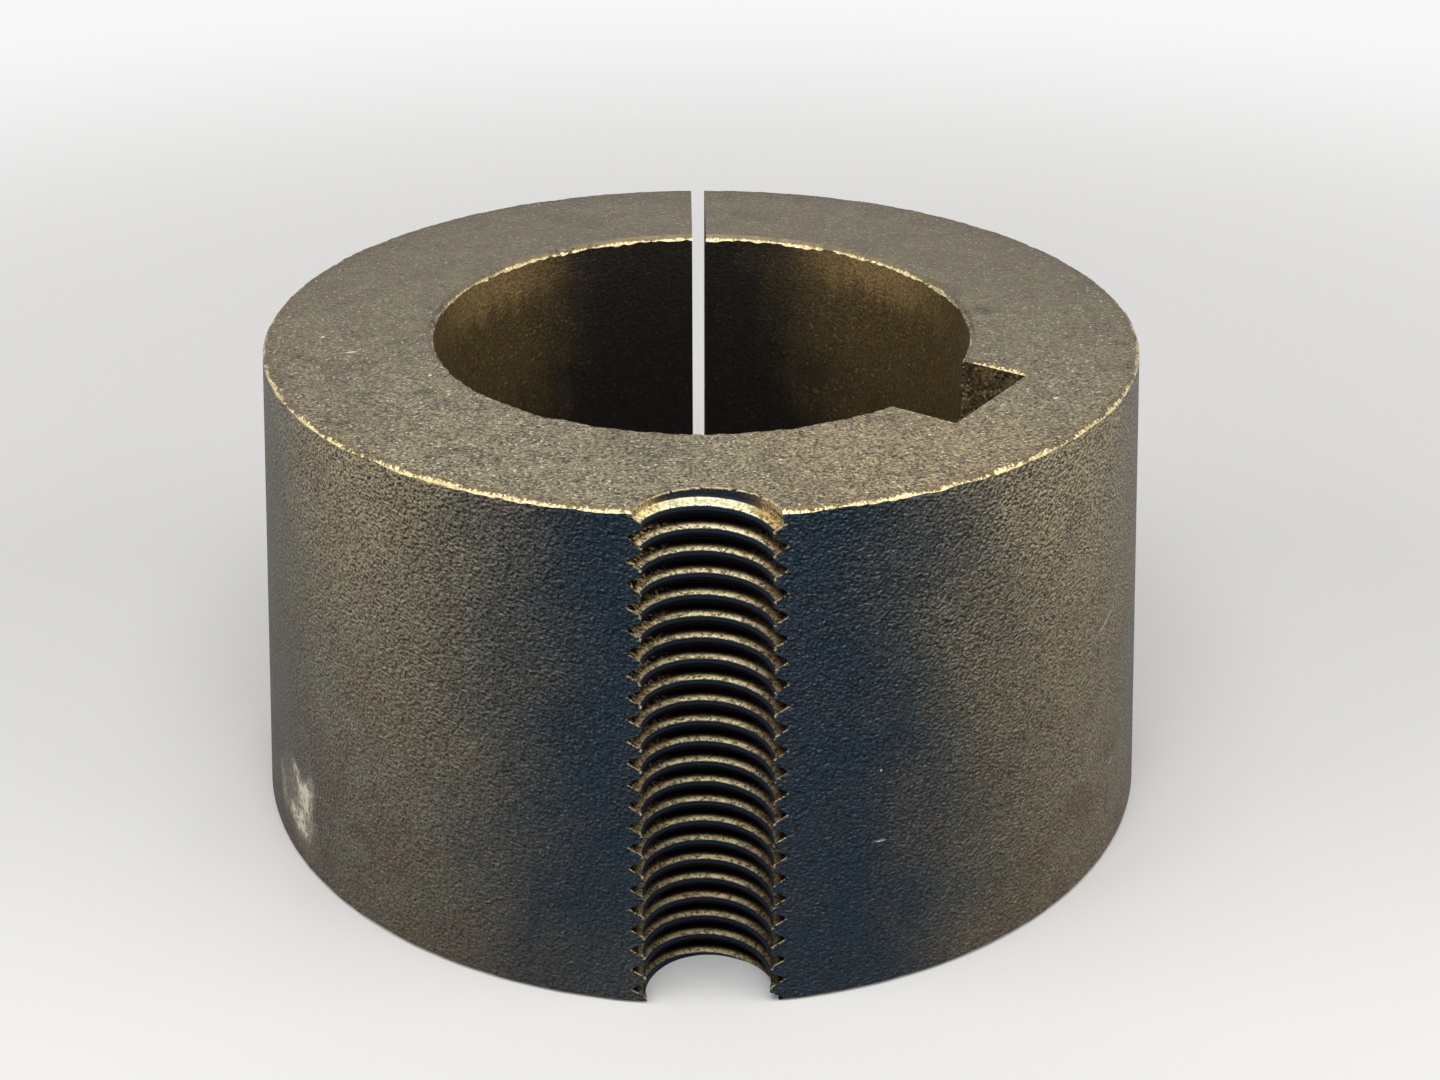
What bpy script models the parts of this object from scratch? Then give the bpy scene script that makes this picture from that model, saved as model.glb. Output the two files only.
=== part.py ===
"""Split taper bushing: a sleeve that clamps the hub of a pulley or sprocket onto a keyed shaft.

The bushing is one machined piece. It stands on its large end, with +Z up along the bore to the
small end, and the origin is where the bore's axis meets the large end's face. The threaded half
hole, where a jacking screw pushes the bushing out of its hub, faces -Y. The saw cut that lets the
sleeve close on its shaft faces +Y. The two plain half holes for the set screws face +X and -X:
they are blind, so the screws push the bushing into the hub.

All sizes are in metres and all angles in degrees.
"""

import math

import bmesh
import bpy
from mathutils import Matrix, Vector

# The sleeve
LENGTH = 0.04445
LARGE_END_DIAMETER = 0.085725
TAPER_ANGLE = 8.0  # between opposite sides
OUTER_EDGE_BREAK = 0.0003
WALL_AT_LARGE_END = 0.01825625  # leaves a bore of 49.2125 mm
BORE_EDGE_BREAK = 0.0005

# The keyway, as deep as stated where its sides leave the bore
KEYWAY_WIDTH = 0.0127
KEYWAY_DEPTH = 0.00635
KEYWAY_AZIMUTH = -35.7
KEYWAY_EDGE_BREAK = 0.0003

# The saw cut
SPLIT_WIDTH = 0.0014
SPLIT_AZIMUTH = 90.0

# From the large end's rim in to the axes of all three half holes
SCREW_AXIS_INSET = 0.0015875

# The threaded half hole for the jacking screw, right through
JACKING_AZIMUTH = -90.0
THREAD_MAJOR_DIAMETER = 0.0127
THREAD_PITCH = 0.0254 / 13
THREAD_FLANK_ANGLE = 60.0
FIRST_GROOVE_DEPTH = 0.0006  # its centre, below the small end, at the side nearest the bore
MOUTH_DIAMETER = 0.0119
MOUTH_DEPTH = 0.0005

# The plain half holes for the set screws, blind
SET_SCREW_AZIMUTHS = (0.0, 180.0)
SET_SCREW_LENGTH = 0.0254
SET_SCREW_RECESS = 0.0032
SET_SCREW_HOLE_DIAMETER = 0.0134
DRILL_POINT_ANGLE = 118.0

# How finely round surfaces are divided
SLEEVE_SEGMENTS = 120
HOLE_SEGMENTS = 36

MERGE = 0.00001
WELD = 0.000002  # points this close after the cuts are made one
OVERRUN = 0.004  # how far a cutter reaches past the surface that it opens
MOUTH_OVERLAP = 0.0003  # how far the mouth's cone runs on into the drilled hole
SMOOTH_ANGLE = 30.0

TAPER = math.tan(math.radians(TAPER_ANGLE / 2))
LARGE_END_RADIUS = LARGE_END_DIAMETER / 2
BORE_RADIUS = LARGE_END_RADIUS - WALL_AT_LARGE_END
SCREW_CIRCLE_RADIUS = LARGE_END_RADIUS - SCREW_AXIS_INSET


def clear_scene():
    """Remove whatever the file holds."""
    for obj in list(bpy.data.objects):
        bpy.data.objects.remove(obj)


def new_collection(name):
    collection = bpy.data.collections.new(name)
    bpy.context.scene.collection.children.link(collection)
    return collection


def outer_radius(height):
    """Radius of the tapered outside at a height above the large end."""
    return LARGE_END_RADIUS - TAPER * height


def polar(radius, azimuth, height=0.0):
    """Point at a radius and azimuth round the bore's axis."""
    angle = math.radians(azimuth)
    return Vector((radius * math.cos(angle), radius * math.sin(angle), height))


def turned(name, profile, segments, collection, closed=False):
    """Object turned about its own Z axis from (radius, height) points that run down the outer side."""
    mesh = bpy.data.meshes.new(name)
    edges = [(i, i + 1) for i in range(len(profile) - 1)]
    if closed:
        edges.append((len(profile) - 1, 0))
    mesh.from_pydata([(radius, 0.0, height) for radius, height in profile], edges, [])
    obj = bpy.data.objects.new(name, mesh)
    collection.objects.link(obj)
    screw = obj.modifiers.new("turn", "SCREW")
    screw.steps = segments
    screw.render_steps = segments
    screw.use_merge_vertices = True
    screw.merge_threshold = MERGE
    return obj


def block(name, low, high, collection):
    """Box between two corners of its own frame."""
    mesh = bpy.data.meshes.new(name)
    bm = bmesh.new()
    bmesh.ops.create_cube(bm, size=1.0)
    size = Vector(high) - Vector(low)
    middle = (Vector(high) + Vector(low)) / 2
    bmesh.ops.transform(bm, matrix=Matrix.Translation(middle) @ Matrix.Diagonal((*size, 1.0)), verts=bm.verts)
    bm.to_mesh(mesh)
    bm.free()
    obj = bpy.data.objects.new(name, mesh)
    collection.objects.link(obj)
    return obj


def turn_to(obj, azimuth):
    """Point the object's own +X at an azimuth round the bore's axis."""
    obj.rotation_euler.z = math.radians(azimuth)
    return obj


def sleeve_blank(collection):
    """The turned sleeve: tapered outside, straight bore, and the edges of both broken."""
    edge, mouth = OUTER_EDGE_BREAK, BORE_EDGE_BREAK
    profile = [
        (outer_radius(LENGTH) - edge, LENGTH),
        (outer_radius(LENGTH - edge), LENGTH - edge),
        (outer_radius(edge), edge),
        (outer_radius(0.0) - edge, 0.0),
        (BORE_RADIUS + mouth, 0.0),
        (BORE_RADIUS, mouth),
        (BORE_RADIUS, LENGTH - mouth),
        (BORE_RADIUS + mouth, LENGTH),
    ]
    obj = turned("bushing", profile, SLEEVE_SEGMENTS, collection, closed=True)
    # Half a segment round, so that no edge of the outside falls beside an edge of a half hole.
    obj.data.transform(Matrix.Rotation(math.pi / SLEEVE_SEGMENTS, 4, "Z"))
    return obj


def split_cutter(collection):
    """The saw cut: a thin slab from the bore's axis out through the wall, over the whole length."""
    half = SPLIT_WIDTH / 2
    low = (0.0, -half, -OVERRUN)
    high = (LARGE_END_RADIUS + OVERRUN, half, LENGTH + OVERRUN)
    return turn_to(block("split_cutter", low, high, collection), SPLIT_AZIMUTH)


def keyway_floor_radius():
    """Distance of the keyway's floor from the bore's axis."""
    return math.sqrt(BORE_RADIUS**2 - (KEYWAY_WIDTH / 2) ** 2) + KEYWAY_DEPTH


def keyway_cutter(collection):
    """The broach: a square bar along the bore's wall, flared at both ends to break the keyway's edges."""
    half, floor, flare = KEYWAY_WIDTH / 2, keyway_floor_radius(), 2 * KEYWAY_EDGE_BREAK
    sections = [
        (-KEYWAY_EDGE_BREAK, flare),
        (KEYWAY_EDGE_BREAK, 0.0),
        (LENGTH - KEYWAY_EDGE_BREAK, 0.0),
        (LENGTH + KEYWAY_EDGE_BREAK, flare),
    ]
    corners, faces = [], []
    for height, wider in sections:
        y = half + wider
        x = floor + wider
        corners += [(0.0, -y, height), (x, -y, height), (x, y, height), (0.0, y, height)]
    for first in range(0, len(corners) - 4, 4):
        for i in range(4):
            j = (i + 1) % 4
            faces.append((first + i, first + j, first + 4 + j, first + 4 + i))
    faces.append((3, 2, 1, 0))
    faces.append(tuple(range(len(corners) - 4, len(corners))))
    mesh = bpy.data.meshes.new("keyway_cutter")
    mesh.from_pydata(corners, [], faces)
    obj = bpy.data.objects.new("keyway_cutter", mesh)
    collection.objects.link(obj)
    return turn_to(obj, KEYWAY_AZIMUTH)


def set_screw_cutter(name, azimuth, collection):
    """The drill for a plain half hole, fed in from the large end, with its point leading."""
    radius = SET_SCREW_HOLE_DIAMETER / 2
    depth = SET_SCREW_LENGTH + SET_SCREW_RECESS
    point = radius / math.tan(math.radians(DRILL_POINT_ANGLE / 2))
    profile = [(0.0, depth + point), (radius, depth), (radius, -OVERRUN), (0.0, -OVERRUN)]
    obj = turned(name, profile, HOLE_SEGMENTS, collection)
    obj.location = polar(SCREW_CIRCLE_RADIUS, azimuth)
    return turn_to(obj, azimuth)


def thread_minor_radius():
    """Radius of the crests: the drill goes through the sharp profile at 5/8 of its height."""
    sharp_height = THREAD_PITCH / 2 / math.tan(math.radians(THREAD_FLANK_ANGLE / 2))
    return THREAD_MAJOR_DIAMETER / 2 - 5 / 8 * sharp_height


def place_at_jacking_hole(obj, height=0.0):
    """Stand a cutter on the jacking hole's axis, with its own +Y towards the bore."""
    obj.location = polar(SCREW_CIRCLE_RADIUS, JACKING_AZIMUTH, height)
    return turn_to(obj, JACKING_AZIMUTH + 90.0)


def mouth_cutter(collection):
    """The wider mouth of the threaded hole at the small end, coned down to the thread's crests."""
    mouth, core = MOUTH_DIAMETER / 2, thread_minor_radius() - MOUTH_OVERLAP
    shoulder = LENGTH - MOUTH_DEPTH
    cone = (mouth - core) / math.tan(math.radians(DRILL_POINT_ANGLE / 2))
    top = LENGTH + OVERRUN / 2
    profile = [(0.0, top), (mouth, top), (mouth, shoulder), (core, shoulder - cone), (0.0, shoulder - cone)]
    obj = turned("mouth_cutter", profile, HOLE_SEGMENTS, collection)
    place_at_jacking_hole(obj)
    # Half a segment round from the thread, so that no edge of the one runs along an edge of the other.
    obj.rotation_euler.z += math.pi / HOLE_SEGMENTS
    return obj


def thread_section():
    """(radius, height) points up one pitch of the thread, from crest to crest round the groove."""
    crest, root = thread_minor_radius(), THREAD_MAJOR_DIAMETER / 2
    half_root = THREAD_PITCH / 16
    half_groove = half_root + (root - crest) * math.tan(math.radians(THREAD_FLANK_ANGLE / 2))
    return [
        (crest, -THREAD_PITCH / 2),
        (crest, -half_groove),
        (root, -half_root),
        (root, half_root),
        (crest, half_groove),
        (crest, THREAD_PITCH / 2),
    ]


def thread_cutter(collection):
    """Drill and tap in one: a right-hand threaded rod that reaches past both ends of the sleeve."""
    turns_below = math.ceil(LENGTH / THREAD_PITCH) + 1
    helix = turned("thread_helix", thread_section(), HOLE_SEGMENTS, collection)
    screw = helix.modifiers["turn"]
    screw.screw_offset = THREAD_PITCH
    screw.iterations = turns_below + 3
    # The sweep starts a quarter turn before the side nearest the bore.
    start = LENGTH - FIRST_GROOVE_DEPTH - THREAD_PITCH / 4 - turns_below * THREAD_PITCH
    obj = capped(helix, "thread_cutter", collection)
    return place_at_jacking_hole(obj, start)


def capped(source, name, collection):
    """A plain mesh of a swept thread, with each open end closed towards a point on its axis."""
    graph = bpy.context.evaluated_depsgraph_get()
    mesh = bpy.data.meshes.new_from_object(source.evaluated_get(graph))
    mesh.name = name
    bm = bmesh.new()
    bm.from_mesh(mesh)
    bmesh.ops.remove_doubles(bm, verts=bm.verts, dist=MERGE)
    heights = [vertex.co.z for vertex in bm.verts]
    middle = (min(heights) + max(heights)) / 2
    tips = {
        False: bm.verts.new((0.0, 0.0, min(heights) - THREAD_PITCH)),
        True: bm.verts.new((0.0, 0.0, max(heights) + THREAD_PITCH)),
    }
    for edge in [edge for edge in bm.edges if edge.is_boundary]:
        low, high = edge.verts
        bm.faces.new((low, high, tips[low.co.z > middle]))
    bmesh.ops.recalc_face_normals(bm, faces=bm.faces)
    bm.to_mesh(mesh)
    bm.free()
    obj = bpy.data.objects.new(name, mesh)
    collection.objects.link(obj)
    bpy.data.objects.remove(source)
    return obj


def cut(body, cutters):
    """Take each cutter's shape out of the body, and leave the cutters as hidden wires."""
    for cutter in cutters:
        boolean = body.modifiers.new(cutter.name, "BOOLEAN")
        boolean.operation = "DIFFERENCE"
        boolean.object = cutter
        cutter.hide_render = True
        cutter.display_type = "WIRE"


def apply_and_smooth(body):
    """Turn the modifiers into the mesh, then shade it smooth with its real edges kept sharp."""
    graph = bpy.context.evaluated_depsgraph_get()
    mesh = bpy.data.meshes.new_from_object(body.evaluated_get(graph))
    bm = bmesh.new()
    bm.from_mesh(mesh)
    bmesh.ops.remove_doubles(bm, verts=bm.verts, dist=WELD)
    bmesh.ops.dissolve_degenerate(bm, edges=bm.edges, dist=WELD)
    bmesh.ops.triangulate(bm, faces=[face for face in bm.faces if len(face.verts) > 4], ngon_method="BEAUTY")
    bm.to_mesh(mesh)
    bm.free()
    body.modifiers.clear()
    body.data = mesh
    mesh.name = body.name
    mesh.shade_smooth()
    mesh.set_sharp_from_angle(angle=math.radians(SMOOTH_ANGLE))


def phosphated_iron():
    """Dark brown phosphate coat on cast iron."""
    material = bpy.data.materials.new("phosphated_iron")
    material.use_nodes = True
    shader = material.node_tree.nodes["Principled BSDF"]
    shader.inputs["Base Color"].default_value = (0.17, 0.15, 0.12, 1.0)
    shader.inputs["Metallic"].default_value = 0.7
    shader.inputs["Roughness"].default_value = 0.55
    material.diffuse_color = (0.17, 0.15, 0.12, 1.0)
    return material


def main():
    clear_scene()
    parts = new_collection("split_taper_bushing")
    cutters = new_collection("cutters")
    bushing = sleeve_blank(parts)
    tools = [
        split_cutter(cutters),
        keyway_cutter(cutters),
    ]
    for number, azimuth in enumerate(SET_SCREW_AZIMUTHS, start=1):
        tools.append(set_screw_cutter(f"set_screw_cutter_{number}", azimuth, cutters))
    tools.append(thread_cutter(cutters))
    tools.append(mouth_cutter(cutters))
    cut(bushing, tools)
    apply_and_smooth(bushing)
    bushing.data.materials.clear()
    bushing.data.materials.append(phosphated_iron())


main()
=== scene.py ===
"""Looks of a split taper bushing: dark iron, blasted to a fine pebble and worn bright on its edges.

The bushing stands on its large end, with its bore along +Z. Its threaded half hole faces -Y, its
saw cut faces +Y, and its two plain half holes face +X and -X. Lengths are in metres and angles in
degrees, unless a name says otherwise.
"""

from __future__ import annotations

import logging
import math
from dataclasses import dataclass, field
from enum import Enum

import bmesh
import bpy
from mathutils import Matrix, Vector, noise

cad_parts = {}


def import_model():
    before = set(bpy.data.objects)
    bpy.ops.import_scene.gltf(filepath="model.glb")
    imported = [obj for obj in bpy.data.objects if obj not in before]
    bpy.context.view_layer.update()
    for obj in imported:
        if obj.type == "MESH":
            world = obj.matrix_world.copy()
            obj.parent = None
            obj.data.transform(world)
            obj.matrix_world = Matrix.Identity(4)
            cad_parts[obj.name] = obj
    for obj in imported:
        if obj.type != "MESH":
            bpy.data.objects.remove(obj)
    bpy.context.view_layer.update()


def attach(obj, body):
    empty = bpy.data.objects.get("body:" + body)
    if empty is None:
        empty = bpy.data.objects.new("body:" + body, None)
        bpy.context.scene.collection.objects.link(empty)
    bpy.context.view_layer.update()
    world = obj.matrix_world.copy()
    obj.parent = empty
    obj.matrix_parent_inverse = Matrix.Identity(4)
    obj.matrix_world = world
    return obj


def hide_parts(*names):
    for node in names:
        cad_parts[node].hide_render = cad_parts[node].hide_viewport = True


LOG = logging.getLogger("bushing")
MM = 0.001

# Corners nearer to each other than WELD become one. Edges bent by more than SHARP_ANGLE stay sharp.
WELD = 0.002 * MM
SHARP_ANGLE = 38.0

# Red, green and blue, from 0 to 1 each, and a number for each of X, Y and Z.
Colour = tuple[float, float, float]
Axes = tuple[float, float, float]


class Region(Enum):
    """The kinds of face on the bushing, each with its own finish. The value is the material's slot."""

    SKIN = 0
    END_FACE = 1
    BORE = 2
    RIM = 3
    THREAD = 4
    CUT_WALL = 5


# Node trees


@dataclass(frozen=True)
class Socket:
    """An output of a node, which takes part in expressions."""

    tree: Tree
    link: bpy.types.NodeSocket

    def _math(self, operation: str, *others: Socket | float, swap: bool = False) -> Socket:
        """Add a Math node on this value and the others.

        Args:
            operation: The Math node's operation.
            others: Sockets or numbers.
            swap: Whether the first of the others comes before this value.

        Returns:
            The node's output.
        """
        values = [self, *others]
        if swap:
            values[0], values[1] = values[1], values[0]
        return self.tree.node("ShaderNodeMath", {"operation": operation}, dict(enumerate(values)))

    def __add__(self, other: Socket | float) -> Socket:
        """This value plus the other."""
        return self._math("ADD", other)

    __radd__ = __add__

    def __sub__(self, other: Socket | float) -> Socket:
        """This value minus the other."""
        return self._math("SUBTRACT", other)

    def __rsub__(self, other: Socket | float) -> Socket:
        """The other minus this value."""
        return self._math("SUBTRACT", other, swap=True)

    def __mul__(self, other: Socket | float) -> Socket:
        """This value times the other."""
        return self._math("MULTIPLY", other)

    __rmul__ = __mul__

    def __truediv__(self, other: Socket | float) -> Socket:
        """This value over the other."""
        return self._math("DIVIDE", other)

    def __rtruediv__(self, other: Socket | float) -> Socket:
        """The other over this value."""
        return self._math("DIVIDE", other, swap=True)

    def __abs__(self) -> Socket:
        """This value without its sign."""
        return self._math("ABSOLUTE")

    def root(self) -> Socket:
        """The square root."""
        return self._math("SQRT")

    def cosine(self) -> Socket:
        """The cosine, of radians."""
        return self._math("COSINE")

    def sine(self) -> Socket:
        """The sine, of radians."""
        return self._math("SINE")

    def fraction(self) -> Socket:
        """What is left above the whole number below."""
        return self._math("FRACT")

    def angle_over(self, across: Socket | float) -> Socket:
        """The angle of the point (across, this value), in radians."""
        return self._math("ARCTAN2", across)

    def at_most(self, other: Socket | float) -> Socket:
        """The smaller of this value and the other."""
        return self._math("MINIMUM", other)

    def at_least(self, other: Socket | float) -> Socket:
        """The larger of this value and the other."""
        return self._math("MAXIMUM", other)

    def ramp(self, start: float, end: float) -> Socket:
        """A smooth climb from 0 where this value is start to 1 where it is end.

        Args:
            start: Where the climb starts.
            end: Where it ends. It may lie below start.

        Returns:
            A value from 0 to 1.
        """
        climb = self.tree.node(
            "ShaderNodeMapRange",
            {"interpolation_type": "SMOOTHSTEP"},
            {"Value": self, "From Min": min(start, end), "From Max": max(start, end)},
        )
        return climb if start <= end else 1 - climb

    def spread(self, low: float, high: float) -> Socket:
        """A value from 0 to 1 spread evenly from low to high."""
        return self * (high - low) + low


class Tree:
    """A node tree, to which every node is added by one method."""

    def __init__(self, nodes: bpy.types.Nodes, links: bpy.types.NodeLinks) -> None:
        """Keep the tree's nodes and links.

        Args:
            nodes: The tree's nodes.
            links: The tree's links.
        """
        self._nodes = nodes
        self._links = links

    def node(self, kind: str, settings: dict[str, object], inputs: dict[int | str, object],
             output: int | str | None = 0) -> Socket | bpy.types.Node:
        """Add a node.

        Args:
            kind: The node's type.
            settings: Its settings, which are set first.
            inputs: Numbers, colours or sockets, by the input's name or number.
            output: The output's name or number, or None for the node itself.

        Returns:
            The output as a Socket, or the node.
        """
        node = self._nodes.new(kind)
        for key, value in settings.items():
            setattr(node, key, value)
        for key, value in inputs.items():
            if isinstance(value, Socket):
                self._links.new(value.link, node.inputs[key])
            else:
                node.inputs[key].default_value = value
        return node if output is None else Socket(self, node.outputs[output])

    def noise(self, where: Socket, detail: float, rough: float, warp: float = 0.0) -> Socket:
        """Noise with features about one unit wide.

        Args:
            where: The point.
            detail: How many finer layers it has.
            rough: How strong those are.
            warp: How far it is distorted.

        Returns:
            A value about 0.5, mostly between 0.3 and 0.7.
        """
        return self.node(
            "ShaderNodeTexNoise",
            {"noise_dimensions": "3D"},
            {"Vector": where, "Scale": 1.0, "Detail": detail, "Roughness": rough, "Distortion": warp},
        )

    def scaled(self, vector: Socket, factor: Socket | float) -> Socket:
        """A vector or a colour times a number."""
        return self.node("ShaderNodeVectorMath", {"operation": "SCALE"}, {0: vector, "Scale": factor})

    def point(self, x: Socket, y: Socket, z: Socket) -> Socket:
        """The vector with these three parts."""
        return self.node("ShaderNodeCombineXYZ", {}, {"X": x, "Y": y, "Z": z})

    def parts(self, vector: Socket) -> list[Socket]:
        """The three parts of a vector."""
        split = self.node("ShaderNodeSeparateXYZ", {}, {"Vector": vector}, None)
        return [Socket(self, output) for output in split.outputs]


class ShaderTree(Tree):
    """The tree of one material, with the coordinates that the bushing's finishes read."""

    def __init__(self, name: str) -> None:
        """Start a material.

        Args:
            name: The material's name.
        """
        self.material = bpy.data.materials.new(name)
        self.material.use_nodes = True
        tree = self.material.node_tree
        tree.nodes.clear()
        super().__init__(tree.nodes, tree.links)
        self.position = self.node("ShaderNodeTexCoord", {}, {}, "Object")
        self.x, self.y, self.z = self.parts(self.position)
        self.radius = (self.x * self.x + self.y * self.y).root()
        self.azimuth = self.x.angle_over(self.y * -1)

    def in_units(self, size: float, stretch: Axes = (1.0, 1.0, 1.0), shift: float = 0.0,
                 beside: Axes = (0.0, 0.0, 0.0)) -> Socket:
        """The position counted in a pattern's own units.

        Args:
            size: Length of a unit.
            stretch: How many times longer the unit is along each axis.
            shift: Moves the pattern, so that two of one size differ.
            beside: How many units away from the point the pattern is read, along each axis.

        Returns:
            The position.
        """
        scale = tuple(1.0 / (size * along) for along in stretch)
        start = tuple(shift + along for along in beside)
        return self.node(
            "ShaderNodeMapping",
            {"vector_type": "POINT"},
            {"Vector": self.position, "Location": start, "Scale": scale},
        )

    def clouds(self, size: float, detail: float = 2.0, rough: float = 0.5, warp: float = 0.0,
               stretch: Axes = (1.0, 1.0, 1.0), shift: float = 0.0,
               beside: Axes = (0.0, 0.0, 0.0)) -> Socket:
        """Noise over the surface, about 0.5.

        Args:
            size: Size of its features.
            detail: How many finer layers it has.
            rough: How strong those are.
            warp: How far it is distorted.
            stretch: How many times longer the features are along each axis.
            shift: Moves the pattern.
            beside: How many times its size away from the point it is read, along each axis.

        Returns:
            A value, mostly between 0.3 and 0.7.
        """
        return self.noise(self.in_units(size, stretch, shift, beside), detail, rough, warp)

    def grains(self, size: float, stretch: Axes = (1.0, 1.0, 1.0), shift: float = 0.0) -> Socket:
        """Grains side by side, each of one brightness.

        Args:
            size: Size of a grain.
            stretch: How many times longer the grains are along each axis.
            shift: Moves the pattern.

        Returns:
            Each grain's own value, anywhere from 0 to 1.
        """
        cell = self.node(
            "ShaderNodeTexVoronoi",
            {"voronoi_dimensions": "3D", "feature": "F1"},
            {"Vector": self.in_units(size, stretch, shift), "Scale": 1.0},
            "Color",
        )
        return self.node("ShaderNodeSeparateColor", {}, {"Color": cell})

    def mix(self, share: Socket | float, first: Socket | Colour, second: Socket | Colour) -> Socket:
        """A colour between two.

        Args:
            share: How much of the second there is, from 0 to 1.
            first: The one colour.
            second: The other colour.

        Returns:
            The colour.
        """
        first, second = (c if isinstance(c, Socket) else (*c, 1.0) for c in (first, second))
        return self.node(
            "ShaderNodeMix", {"data_type": "RGBA", "blend_type": "MIX"}, {0: share, 6: first, 7: second}, 2
        )

    def relief(self, height: Socket, depth: float, under: Socket | None = None) -> Socket:
        """A relief in the surface.

        Args:
            height: The relief's height, from 0 to 1.
            depth: What a height of 1 stands for.
            under: A relief that this one lies on.

        Returns:
            The normal.
        """
        inputs = {"Height": height, "Distance": depth, "Strength": 1.0}
        if under is not None:
            inputs["Normal"] = under
        return self.node("ShaderNodeBump", {}, inputs)

    def finish(self, colour: Socket, roughness: Socket | float, metallic: Socket | float,
               normal: Socket, specular: float = 0.5) -> bpy.types.Material:
        """End the tree in a shader.

        Args:
            colour: Base colour.
            roughness: From 0 to 1.
            metallic: From 0 to 1.
            normal: The normal.
            specular: How strongly the part that is not metallic reflects.

        Returns:
            The material.
        """
        inputs = {"Base Color": colour, "Roughness": roughness, "Metallic": metallic, "Normal": normal}
        inputs["Specular IOR Level"] = specular
        shader = self.node("ShaderNodeBsdfPrincipled", {}, inputs)
        self.node("ShaderNodeOutputMaterial", {}, {"Surface": shader}, None)
        return self.material


# Meshes


def new_object(name: str, bm: bmesh.types.BMesh) -> bpy.types.Object:
    """An object in the scene, with a slot for each region's material.

    Args:
        name: Its name.
        bm: Its mesh, which is freed.

    Returns:
        The object.
    """
    bmesh.ops.recalc_face_normals(bm, faces=bm.faces)
    mesh = bpy.data.meshes.new(name)
    bm.to_mesh(mesh)
    bm.free()
    for _ in Region:
        mesh.materials.append(None)
    obj = bpy.data.objects.new(name, mesh)
    bpy.context.scene.collection.objects.link(obj)
    return obj


def loft(name: str, sections: list[list[Vector]], regions: list[Region], closed: bool = False,
         ends: Region = Region.CUT_WALL) -> bpy.types.Object:
    """A body through closed sections of equally many points.

    Args:
        name: The object's name.
        sections: The sections, each a ring of points.
        regions: The region of each band between one section and the next.
        closed: Whether the last section joins the first. Otherwise both end sections are capped.
        ends: The region of the caps.

    Returns:
        The object.
    """
    bm = bmesh.new()
    rings = [[bm.verts.new(point) for point in section] for section in sections]
    following = rings[1:] + rings[:1] if closed else rings[1:]
    for ring, after, region in zip(rings, following, regions):
        for i in range(len(ring)):
            j = (i + 1) % len(ring)
            bm.faces.new((ring[i], ring[j], after[j], after[i])).material_index = region.value
    if not closed:
        for ring in (rings[0], rings[-1]):
            bm.faces.new(ring).material_index = ends.value
    return new_object(name, bm)


def circle(radius: float, height: float, count: int, turn: float = 0.0) -> list[Vector]:
    """Points round a circle about the Z axis.

    Args:
        radius: The circle's radius.
        height: Its height.
        count: How many points.
        turn: Angle of the first, in degrees.

    Returns:
        The points.
    """
    return [polar(radius, turn + 360 * i / count, height) for i in range(count)]


def polar(radius: float, azimuth: float, height: float = 0.0) -> Vector:
    """The point at a radius and azimuth about the Z axis."""
    angle = math.radians(azimuth)
    return Vector((radius * math.cos(angle), radius * math.sin(angle), height))


def slab_section(reach: float, half_width: float, height: float) -> list[Vector]:
    """A level rectangle that reaches out along +X from the Z axis.

    Args:
        reach: How far it reaches.
        half_width: Half its width.
        height: Its height.

    Returns:
        Its corners.
    """
    corners = ((0.0, -half_width), (reach, -half_width), (reach, half_width), (0.0, half_width))
    return [Vector((x, y, height)) for x, y in corners]


def place(obj: bpy.types.Object, where: Vector, azimuth: float) -> bpy.types.Object:
    """Turn an object's mesh about Z and move it, so that the object itself stays at the origin.

    Args:
        obj: The object.
        where: Where its own origin goes.
        azimuth: Where its own +X points.

    Returns:
        The object.
    """
    obj.data.transform(Matrix.Translation(where) @ Matrix.Rotation(math.radians(azimuth), 4, "Z"))
    return obj


# The sleeve


@dataclass(frozen=True)
class WornEdge:
    """An edge that was broken and has worn unevenly, in long waves with short ones on them."""

    width: float
    seed: float
    wear: float = 1.0
    least_share: float = 0.35
    long_wave_mm: float = 3.0
    long_wave_strength: float = 0.55
    short_wave_mm: float = 0.8
    short_wave_strength: float = 0.45
    short_wave_shift: float = 20.0

    def at(self, azimuth: float, radius: float) -> float:
        """Width of the break at an azimuth.

        Args:
            azimuth: The azimuth.
            radius: Radius of the edge, which sets how long a degree is.

        Returns:
            The width there.
        """
        spot = polar(radius / MM, azimuth)
        slow = noise.noise(spot / self.long_wave_mm + Vector((0.0, 0.0, self.seed)))
        shifted = Vector((0.0, 0.0, self.seed + self.short_wave_shift))
        quick = noise.noise(spot / self.short_wave_mm + shifted)
        waves = self.long_wave_strength * slow + self.short_wave_strength * quick
        return self.width * max(self.least_share, 1.0 + self.wear * waves)


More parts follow.
